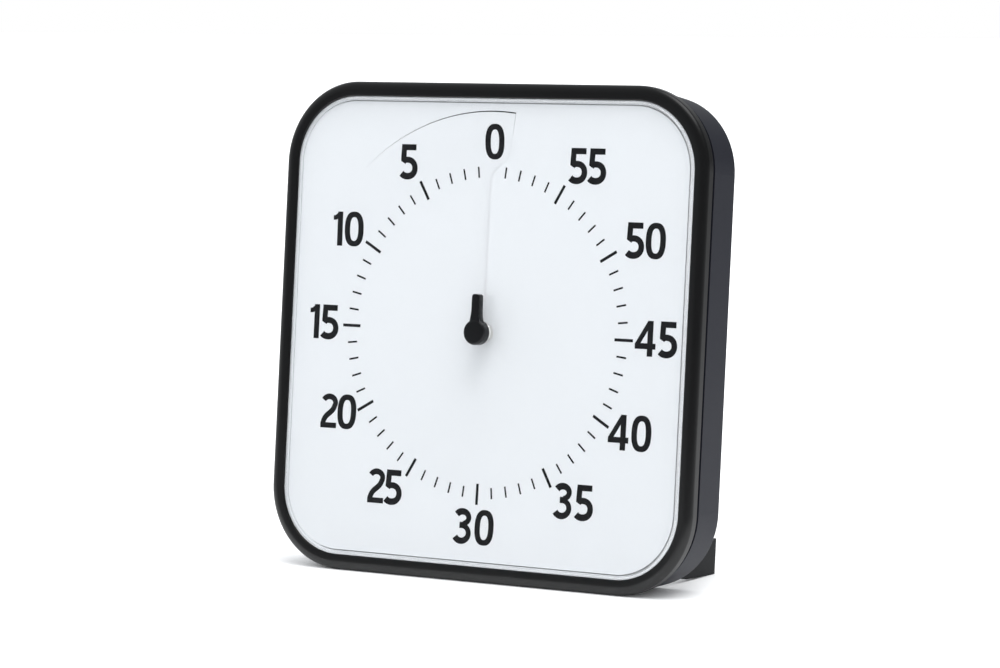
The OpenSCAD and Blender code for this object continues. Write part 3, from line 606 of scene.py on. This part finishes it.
def strip(bm, left, right, closed, offset):
    """Fills the space between two paths of equal length with rows of quads."""
    rows = []
    for a, b in zip(left, right):
        rows.append([
            bm.verts.new((a[0] + (b[0] - a[0]) * t + offset[0],
                          a[1] + (b[1] - a[1]) * t + offset[1], 0))
            for t in (0, 1 / 3, 2 / 3, 1)
        ])
    for k in range(len(rows) if closed else len(rows) - 1):
        after = rows[(k + 1) % len(rows)]
        for i in range(3):
            bm.faces.new((rows[k][i], rows[k][i + 1], after[i + 1], after[i]))


def draw_stroke(bm, stroke, offset):
    if stroke[0] == "ring":
        strip(bm, stroke[1], stroke[2], True, offset)
        return
    path = [Vector(p) for p in stroke[0]]
    first, last = stroke[1] if isinstance(stroke[1], tuple) else (stroke[1], stroke[1])
    left, right = [], []
    for k, p in enumerate(path):
        along = path[min(k + 1, len(path) - 1)] - path[max(k - 1, 0)]
        width = first + (last - first) * k / (len(path) - 1)
        across = Vector((-along.y, along.x)).normalized() * width / 2
        left.append(p + across)
        right.append(p - across)
    strip(bm, left, right, False, offset)


drawing = bmesh.new()
for minute, middle_x, middle_y, gap in NUMBERS:
    digits = str(minute)
    width = sum(DIGITS[d][0] for d in digits) + gap * (len(digits) - 1)
    x = middle_x - width / 2
    for digit in digits:
        for stroke in DIGITS[digit][1]:
            draw_stroke(drawing, stroke, (x, middle_y - DIGIT_H / 2))
        x += DIGITS[digit][0] + gap
for face in drawing.faces:
    face.normal_update()
    if face.normal.z < 0:
        face.normal_flip()
flat_numbers = bpy.data.meshes.new("flat numbers")
drawing.to_mesh(flat_numbers)
drawing.free()


def printed(net, given):
    return laid_on_dial(net, given, given["Start"])


numbers_bm = shaped_by_nodes("minute numbers", printed, ink, DIAL_RULE, flat_numbers)
link_mesh("minute_numbers", numbers_bm, "case", ink)


# ---------------------------------------------------------------------------------------
# Lens: clear injection-moulded styrene with a polished bevel round its edge. A flange
# under the bezel's lip holds it, and the knob's collar comes through a hole.
LENS_RIM_D = 41.5
LENS_BACK_Z = 1.6
LENS_FRONT_Z = 3.0
LENS_HOLE_R = 6.4
LENS_FOOT_Z = 0.02
LENS_BEVEL = 1.6
LENS_WALL = (2.9, 2.1)      # how far in the wall under the bevel goes, at its top and foot
SATIN = {1: 0.25, 5: 0.5}   # by side of the outline: the bevel, and the wall under it
HOLE_SATIN = 0.3            # how frosted the side of the hole is


def lens_mesh():
    """The plate between two faces, with its satin bevel, flange and round hole."""
    bm = bmesh.new()
    satin = bm.faces.layers.float.new("satin")
    outline = [
        (LENS_RIM_D - LENS_WALL[0], LENS_BACK_Z), (LENS_RIM_D - LENS_BEVEL, LENS_FRONT_Z),
        (LENS_RIM_D, SEAT_Z), (SHEET_D, SEAT_Z), (SHEET_D, LENS_FOOT_Z),
        (LENS_RIM_D - LENS_WALL[1], LENS_FOOT_Z),
    ]
    rings = case_rings(bm, outline)
    count = len(rings)
    for k, ring in enumerate(rings):
        after = rings[(k + 1) % count]
        for i in range(1, len(outline)):
            j = (i + 1) % len(outline)
            face = bm.faces.new((ring[i], ring[j], after[j], after[i]))
            face[satin] = SATIN.get(i, 0.0)
    for side in (0, 1):
        z = outline[side][1]
        hole = []
        for ring in rings:
            v = ring[side].co
            reach = math.hypot(v.x, v.y)
            hole.append(bm.verts.new((v.x / reach * LENS_HOLE_R, v.y / reach * LENS_HOLE_R, z)))
        for k in range(count):
            bm.faces.new((rings[k][side], rings[(k + 1) % count][side],
                          hole[(k + 1) % count], hole[k]))
        if side == 0:
            first = hole
    for k in range(count):
        wall = bm.faces.new((first[k], first[(k + 1) % count], hole[(k + 1) % count], hole[k]))
        wall[satin] = HOLE_SATIN
    bmesh.ops.recalc_face_normals(bm, faces=bm.faces)
    return bm


def clear_plastic(name, tint):
    """Clear plastic that bends light, and that lets the lamps' light through to the dial."""
    material, net = new_material(name)
    haze = net.noise(object_point(net), 30.0)
    satin = net.add("ShaderNodeAttribute", {"attribute_name": "satin"}, out="Fac")
    clear = net.add("ShaderNodeBsdfPrincipled", inputs={
        "Base Color": (*tint, 1), "Roughness": haze * 0.01 + 0.005,
        "Transmission Weight": 1.0, "IOR": 1.49,
    })
    frosted = net.add("ShaderNodeBsdfPrincipled", inputs={
        "Base Color": (0.9, 0.91, 0.93, 1), "Roughness": haze * 0.1 + 0.3,
    })
    solid = net.add("ShaderNodeMixShader", inputs={0: satin, 1: clear, 2: frosted})
    shadow_ray = net.add("ShaderNodeLightPath", out="Is Shadow Ray")
    open_way = net.add("ShaderNodeBsdfTransparent", inputs={"Color": (*tint, 1)})
    set_surface(net, net.add(
        "ShaderNodeMixShader", inputs={0: shadow_ray, 1: solid, 2: open_way}
    ))
    return material


clear_lens = clear_plastic("clear lens", (0.985, 0.99, 0.995))
lens_piece = link_mesh("lens_plate", lens_mesh(), "case", clear_lens, sharp=20.0)
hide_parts("lens")


# ---------------------------------------------------------------------------------------
# Lever knob: glass-filled nylon, moulded in one piece with its pointer lever, and pressed
# on the spindle. A natural nylon collar under it carries it clear of the lens.
HUB_R = 7.7
KNOB_BACK = 6.2
KNOB_FRONT = 12.6
HUB_EDGE = 1.5
LEVER_HALF = 2.6
LEVER_TIP = 23.3
TIP_R = 1.7
LEVER_BACK = 7.0
LEVER_FRONT = 12.2
LEVER_ROOT = [(1.5, 4.5), (0.9, 7.4), (0.35, 10.5), (0.1, 14.0)]    # extra half width, reach
LEVER_ROUNDING = 0.45
BEVEL_ANGLE = 0.9       # radians; a sharper edge than this is rounded
COLLAR_R = 6.0
COLLAR_BORE_R = 2.5
COLLAR_BACK = 1.4


def turned(profile, steps=64):
    """Turns an open profile of (radius, height) round the Z axis and closes its poles."""
    bm = bmesh.new()
    rings = []
    for r, z in profile:
        if r < 1e-6:
            rings.append([bm.verts.new((0, 0, z))])
            continue
        rings.append([
            bm.verts.new((r * math.cos(2 * math.pi * k / steps),
                          r * math.sin(2 * math.pi * k / steps), z)) for k in range(steps)
        ])
    for low, high in zip(rings, rings[1:]):
        for k in range(steps):
            j = (k + 1) % steps
            if len(low) == 1:
                bm.faces.new((low[0], high[j], high[k]))
            elif len(high) == 1:
                bm.faces.new((low[k], low[j], high[0]))
            else:
                bm.faces.new((low[k], low[j], high[j], high[k]))
    bmesh.ops.remove_doubles(bm, verts=bm.verts, dist=1e-5)
    bmesh.ops.recalc_face_normals(bm, faces=bm.faces)
    return bm


knob_bm = turned(
    [(0, KNOB_BACK), (HUB_R - EDGE_BREAK, KNOB_BACK), (HUB_R, KNOB_BACK + EDGE_BREAK)]
    + arc(HUB_R - HUB_EDGE, KNOB_FRONT - HUB_EDGE, HUB_EDGE, 0, 90, 8)
    + [(0, KNOB_FRONT)]
)
lever = bmesh.new()
side = [(LEVER_HALF + extra, y) for extra, y in LEVER_ROOT]
side += arc(LEVER_HALF - TIP_R, LEVER_TIP - TIP_R, TIP_R, 0, 90, 6)
outline = side + [(-x, y) for x, y in reversed(side)]
base = [lever.verts.new((x, y, LEVER_BACK)) for x, y in outline]
top = [lever.verts.new((x, y, LEVER_FRONT)) for x, y in outline]
lever.faces.new(base)
lever.faces.new(top)
for k in range(len(outline)):
    j = (k + 1) % len(outline)
    lever.faces.new((base[k], base[j], top[j], top[k]))
bmesh.ops.recalc_face_normals(lever, faces=lever.faces)
bmesh.ops.bevel(
    lever, geom=[e for e in lever.edges if e.calc_face_angle(0) > BEVEL_ANGLE],
    offset=LEVER_ROUNDING, segments=4, profile=0.5, affect="EDGES",
)
lever_mesh = bpy.data.meshes.new("lever")
lever.to_mesh(lever_mesh)
lever.free()
knob_bm.from_mesh(lever_mesh)
knob_black = moulded("knob nylon", (0.0055, 0.006, 0.007), 0.36, grain=0.03, shine=0.32)
knob_piece = link_mesh("lever_knob", knob_bm, "setting_knob", knob_black)
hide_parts("knob")

collar_bm = turned([
    (COLLAR_BORE_R, COLLAR_BACK), (COLLAR_R - EDGE_BREAK, COLLAR_BACK),
    (COLLAR_R, COLLAR_BACK + EDGE_BREAK), (COLLAR_R, KNOB_BACK - EDGE_BREAK),
    (COLLAR_R - EDGE_BREAK, KNOB_BACK), (COLLAR_BORE_R, KNOB_BACK),
    (COLLAR_BORE_R, COLLAR_BACK),
])
natural = moulded("natural nylon", (0.8, 0.8, 0.78), 0.35, grain=0.01, spread=0.03)
collar_piece = link_mesh("collar_ring", collar_bm, "setting_knob", natural)
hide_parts("knob_collar")
paint(natural, "disc_hub")


# ---------------------------------------------------------------------------------------
# Time disc: thin red sheet, pressed into the same turn of a screw as the dial, so that it
# slides out through the slit as the knob turns.
DISC_R = 91.5
DISC_T = 0.4
DISC_GAP = 1.0          # degrees left open on each side of its own slit
# Measured between the middles of the two sheets, the disc rests half a pitch behind the dial.
DISC_LOW = -1.5 * PITCH - (DIAL_T - DISC_T) / 2 + PITCH * DISC_GAP / 360

disc_red = sheet_plastic("red disc sheet", (0.62, 0.018, 0.026), 0.38)
disc_bm = shaped_by_nodes("disc sheet", pressed_sheet, disc_red, {
    "Turn Steps": 240, "Plain Rings": 10, "Fade Rings": 0, "Rim Rings": 0,
    "Hole Radius": 5.35, "Screw Radius": DISC_R, "Fade Radius": DISC_R,
    "Slot Radius": DISC_R, "Slot Shift": 0.0, "Slot From": 0.0, "Slot To": 0.0,
    "Rim Distance": 0.0, "Slit Half": 0.0, "Slit Turn": DISC_GAP, "Swerve": 0.0,
    "Low": DISC_LOW, "Rise": PITCH * (1 - 2 * DISC_GAP / 360), "Thickness": DISC_T,
})
disc_piece = link_mesh("red_disc", disc_bm, "disc", disc_red)
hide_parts("time_disc")


# ---------------------------------------------------------------------------------------
# Inner mouldings: black polystyrene that nobody sees, so left as it comes from the mould.
inner_black = moulded("inner black plastic", (0.015, 0.015, 0.016), 0.5)
paint(inner_black, "dial_carrier", "movement_case", "battery_tray", "sounder", "switch_slider")
cover_grey = moulded("cover grey plastic", (0.09, 0.09, 0.095), 0.45)
paint(cover_grey, "movement_cover", "switch_body")


# ---------------------------------------------------------------------------------------
# Metal parts: zinc-plated screws and hanger, nickel-plated spindle and contacts, brass
# wheels, nut and clutch washer, a bare iron stator and a ground magnet.
def metal(name, tone, roughness, brush=(1, 1, 1), per_metre=900.0):
    material, net = new_material(name)
    streak = net.noise(object_point(net, brush), per_metre)
    set_surface(net, net.add("ShaderNodeBsdfPrincipled", inputs={
        "Base Color": net.tinted(streak, [c * 0.82 for c in tone], tone), "Metallic": 1.0,
        "Roughness": streak * 0.2 + (roughness - 0.1), "Normal": net.bump(streak, 0.05, 0.1),
    }))
    return material


zinc = metal("zinc plated steel", (0.62, 0.63, 0.65), 0.34)
paint(zinc, "bezel_screws", "movement_screws", "case_screws", "hanger_screws",
      "board_screws", "foot_pins")
paint(metal("pressed steel", (0.6, 0.61, 0.63), 0.32, (1, 1, 12)), "hanger_plate")
nickel = metal("nickel plated steel", (0.7, 0.69, 0.67), 0.22)
paint(nickel, "spindle", "battery_spring", "battery_contact", "crystal")
brass = metal("wheel brass", (0.78, 0.57, 0.24), 0.26)
paint(brass, "centre_wheel", "third_wheel", "seconds_wheel", "intermediate_wheel",
      "fixing_nut", "clutch_washer")
paint(metal("ground magnet", (0.2, 0.2, 0.21), 0.4), "rotor")
paint(metal("soft iron", (0.42, 0.42, 0.43), 0.38, (14, 1, 1)), "stator")
paint(metal("enamelled copper wire", (0.62, 0.24, 0.09), 0.3, (1400, 1, 1), 1.0), "coil")


# ---------------------------------------------------------------------------------------
# Small soft and electrical parts: rubber washer, lead insulation, circuit board, potted
# chip, and an AA cell in a plain jacket.
paint(moulded("washer rubber", (0.012, 0.012, 0.012), 0.8, grain=0.2), "sealing_washer")
paint(moulded("lead insulation", (0.5, 0.02, 0.018), 0.35, grain=0.01), "battery_leads")
paint(moulded("solder resist", (0.012, 0.11, 0.035), 0.3, grain=0.05), "circuit_board")
paint(moulded("potting resin", (0.01, 0.01, 0.01), 0.2, grain=0.01), "clock_chip")


def cell_jacket():
    """Printed film over a steel can: dark barrel, copper-coloured shoulder, bare ends."""
    steel, barrel, shoulder = (0.6, 0.6, 0.6), (0.03, 0.035, 0.045), (0.5, 0.24, 0.09)
    low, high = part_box("battery_cell")
    material, net = new_material("cell jacket")
    point = object_point(net)
    along = net.add("ShaderNodeSeparateXYZ", inputs={"Vector": point})
    shade = net.add("ShaderNodeValToRGB", {"stops": [
        (0.0, steel), (0.012, barrel), (0.74, barrel),
        (0.745, shoulder), (0.965, shoulder), (0.97, steel),
    ]}, {"Fac": (along - low.x) / (high.x - low.x)})
    set_surface(net, net.add("ShaderNodeBsdfPrincipled", inputs={
        "Base Color": shade, "Metallic": 0.6, "Roughness": net.noise(point, 300.0) * 0.2 + 0.22,
    }))
    return material


paint(cell_jacket(), "battery_cell")


# ---------------------------------------------------------------------------------------
# Table and surround: a white table top that runs on out of sight, a white backdrop that
# fades towards a dark studio in front of the face, and one broad soft lamp overhead.
TABLE_TONE = 0.85
TABLE_SEEN_TONE = 1.0
TABLE_CLOUD = 0.005     # how uneven the white is
TABLE_FADE = (0.3, 1.8, 0.6)    # mirrored, it darkens by the last between the first two
TABLE_EDGE = -0.45      # the front edge, in metres; a mirrored view past it meets the studio
TABLE_REACH = 12.0


def seen_ways(net):
    """Two switches: what is seen straight or through the lens, and what is mirrored."""
    def ray(name):
        return net.add("ShaderNodeLightPath", out=name)

    seen = ray("Is Camera Ray") + ray("Is Transmission Ray") + ray("Is Glossy Ray")
    seen = seen.clamped() * ray("Diffuse Depth").below(0.5)
    mirrored = ray("Glossy Depth").above(0.5)
    return seen * (1 - mirrored), seen * mirrored


table_white, net = new_material("white table")
point = object_point(net)
cloud = net.noise(point, 3.0)
reach = net.add("ShaderNodeVectorMath", {"operation": "LENGTH"}, {0: point}, out="Value")
straight, mirrored = seen_ways(net)
near, far, share = TABLE_FADE
far_off = ((reach - near) * (1 / (far - near))).clamped() * mirrored
lift = (straight + mirrored) * (TABLE_SEEN_TONE - TABLE_TONE)
tone = TABLE_TONE - cloud * TABLE_CLOUD + lift - far_off * share
set_surface(net, net.add("ShaderNodeBsdfPrincipled", inputs={
    "Base Color": net.tinted(tone, (0, 0, 0), (1, 1, 1)),
    "Roughness": 0.7,
    "Specular IOR Level": 0.2,
}))

table = bpy.data.objects.new("table_top", bpy.data.meshes.new("table_top"))
bpy.context.collection.objects.link(table)
bm = bmesh.new()
corners = [(-TABLE_REACH, TABLE_EDGE), (TABLE_REACH, TABLE_EDGE),
           (TABLE_REACH, TABLE_REACH), (-TABLE_REACH, TABLE_REACH)]
bm.faces.new([bm.verts.new((x, y, 0)) for x, y in corners])
bm.to_mesh(table.data)
bm.free()
table.data.materials.append(table_white)

BACKDROP_AT = (-0.8, 0.5, 0.33)     # direction of its brightest part in a mirrored view
FADE_POWER = 3.5
EVEN_LIGHT = 1.34
EVEN_TINT = (0.96, 0.98, 1, 1)

world = bpy.data.worlds.new("surround")
bpy.context.scene.world = world
world.use_nodes = True
world.node_tree.nodes.clear()
net = Net(world.node_tree)
towards_backdrop = net.add("ShaderNodeVectorMath", {"operation": "DOT_PRODUCT"}, {
    0: net.add("ShaderNodeTexCoord", out="Generated"), 1: BACKDROP_AT,
}, out="Value")
faded = (towards_backdrop * 0.5 + 0.5).clamped().math("POWER", FADE_POWER)
straight, mirrored = seen_ways(net)
around = net.add("ShaderNodeBackground", inputs={
    "Color": EVEN_TINT, "Strength": mirrored * (faded - EVEN_LIGHT) + EVEN_LIGHT,
})
white = net.add("ShaderNodeBackground", inputs={"Color": (1, 1, 1, 1), "Strength": 1.0})
net.add("ShaderNodeOutputWorld", inputs={
    "Surface": net.add("ShaderNodeMixShader", inputs={0: straight, 1: around, 2: white}),
})

LAMP_FROM = Vector((0.25, -0.1, 0.96))
LAMP_STRENGTH = 1.5
LAMP_SPREAD = 44        # degrees across

lamp = bpy.data.lights.new("overhead_lamp", "SUN")
lamp.energy = LAMP_STRENGTH
lamp.angle = math.radians(LAMP_SPREAD)
holder = bpy.data.objects.new("overhead_lamp", lamp)
bpy.context.collection.objects.link(holder)
holder.rotation_mode = "QUATERNION"
holder.rotation_quaternion = LAMP_FROM.to_track_quat("Z", "Y")
